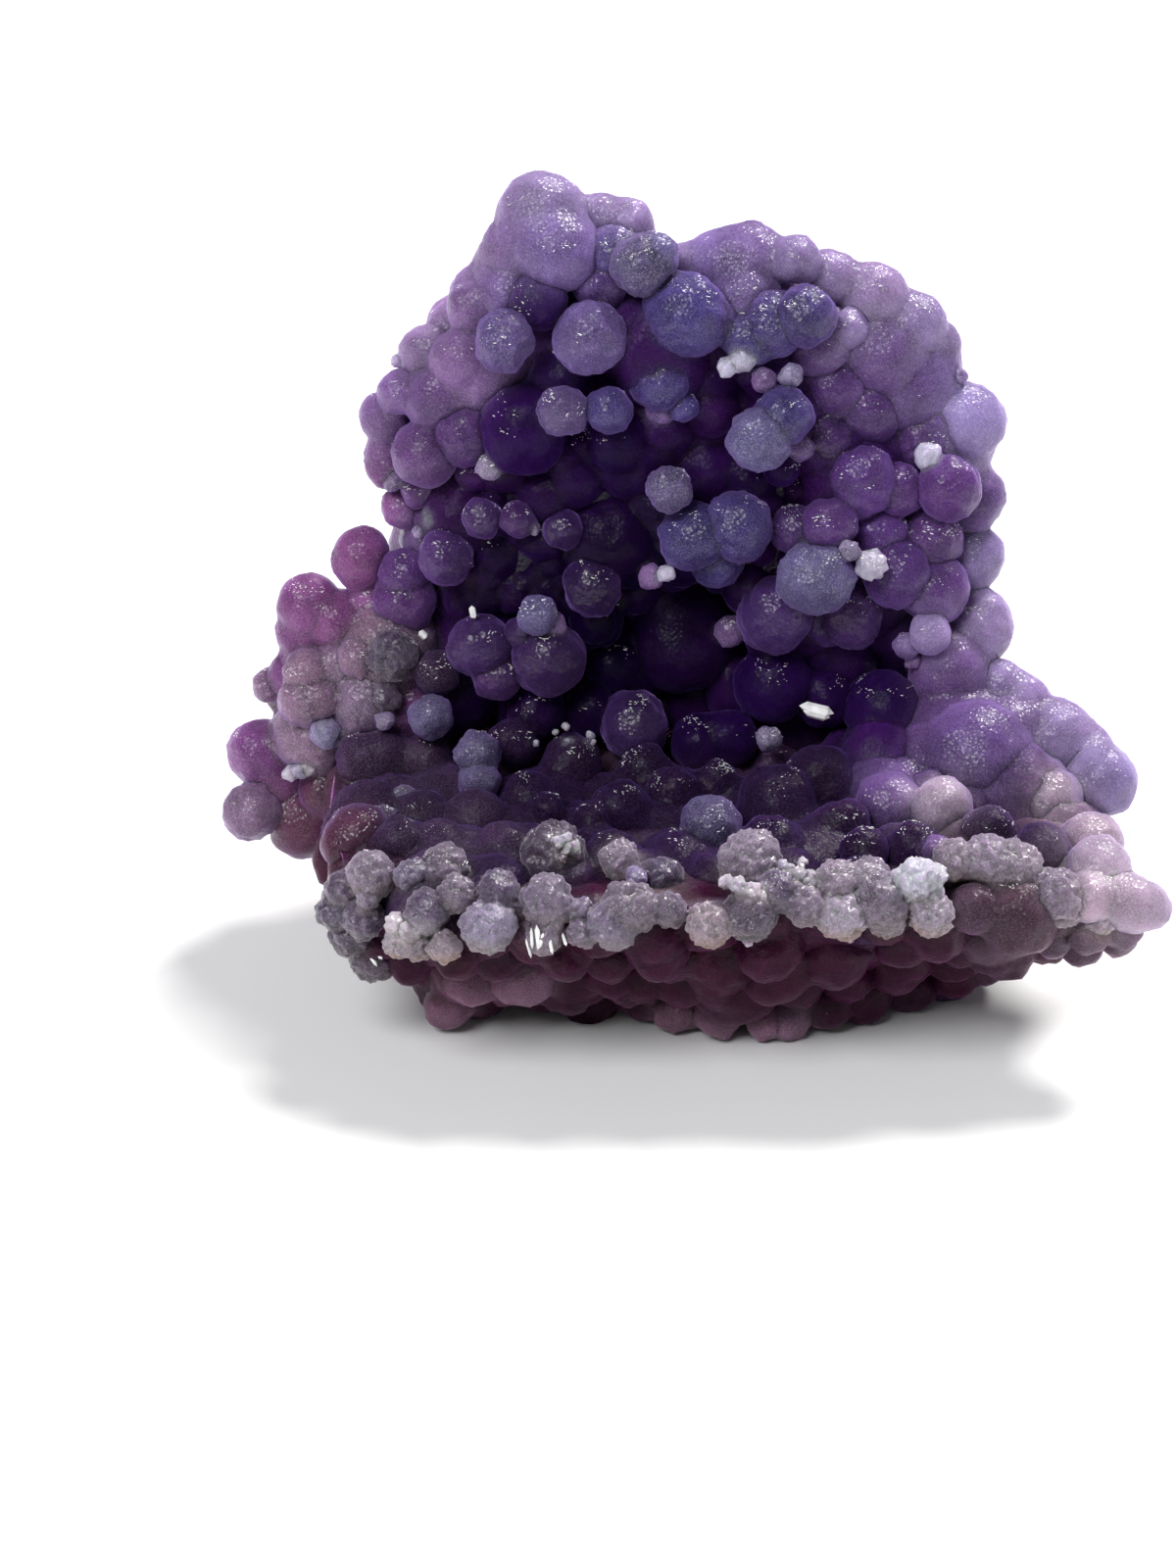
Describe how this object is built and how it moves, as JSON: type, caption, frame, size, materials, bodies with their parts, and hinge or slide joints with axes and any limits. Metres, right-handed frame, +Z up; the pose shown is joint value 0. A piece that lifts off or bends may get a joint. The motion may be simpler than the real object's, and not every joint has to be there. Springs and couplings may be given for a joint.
{
  "type": "botryoidal chalcedony",
  "caption": "Violet botryoidal chalcedony: a peaked wall of grape-like lumps over a hollow, a low ledge with a pale rim in front and a lobe at the left, on a flat cut base.",
  "frame": {"origin": "middle of the outer size in plan, at the height of the flat base the stone stands on", "axes": "+X to the right as the stone is seen from its front, +Y from the front rim to the back, +Z up from the base"},
  "size_m": [0.0688, 0.0476, 0.0593],
  "materials": {
    "violet_chalcedony": "waxy, slightly sugary, translucent violet, paler along the front rim"
  },
  "bodies": {
    "root": {"chalcedony": "violet_chalcedony"}
  },
  "joints": []
}
